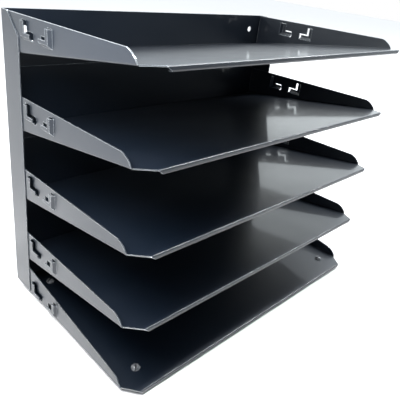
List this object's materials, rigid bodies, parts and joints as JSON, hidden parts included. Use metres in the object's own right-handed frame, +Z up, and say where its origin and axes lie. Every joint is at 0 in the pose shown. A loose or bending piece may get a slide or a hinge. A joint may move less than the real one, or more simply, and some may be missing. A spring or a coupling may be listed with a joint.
{
  "type": "desktop file sorter",
  "caption": "Free-standing sheet steel desktop file sorter: stacked letter trays with low tapered wings, tilted down to a flanged back panel, on push-in rubber feet.",
  "frame": {"origin": "on the desk, under the middle of the sorter's overall box (centre of width and depth, underside of the feet)", "axes": "+Z up; -Y towards the open front where papers go in; +Y towards the back panel; +X to the right seen from the front"},
  "size_m": [0.385, 0.222, 0.3109],
  "materials": {
    "powder_coat": "black semi-gloss powder coat over folded sheet steel",
    "rubber": "black moulded push-in bumper"
  },
  "bodies": {
    "root": {"back_panel": "powder_coat", "base_tray": "powder_coat", "lower_tray": "powder_coat", "middle_tray": "powder_coat", "upper_tray": "powder_coat", "top_tray": "powder_coat", "foot_front_left": "rubber", "foot_front_right": "rubber", "foot_rear_left": "rubber", "foot_rear_right": "rubber"}
  },
  "joints": []
}
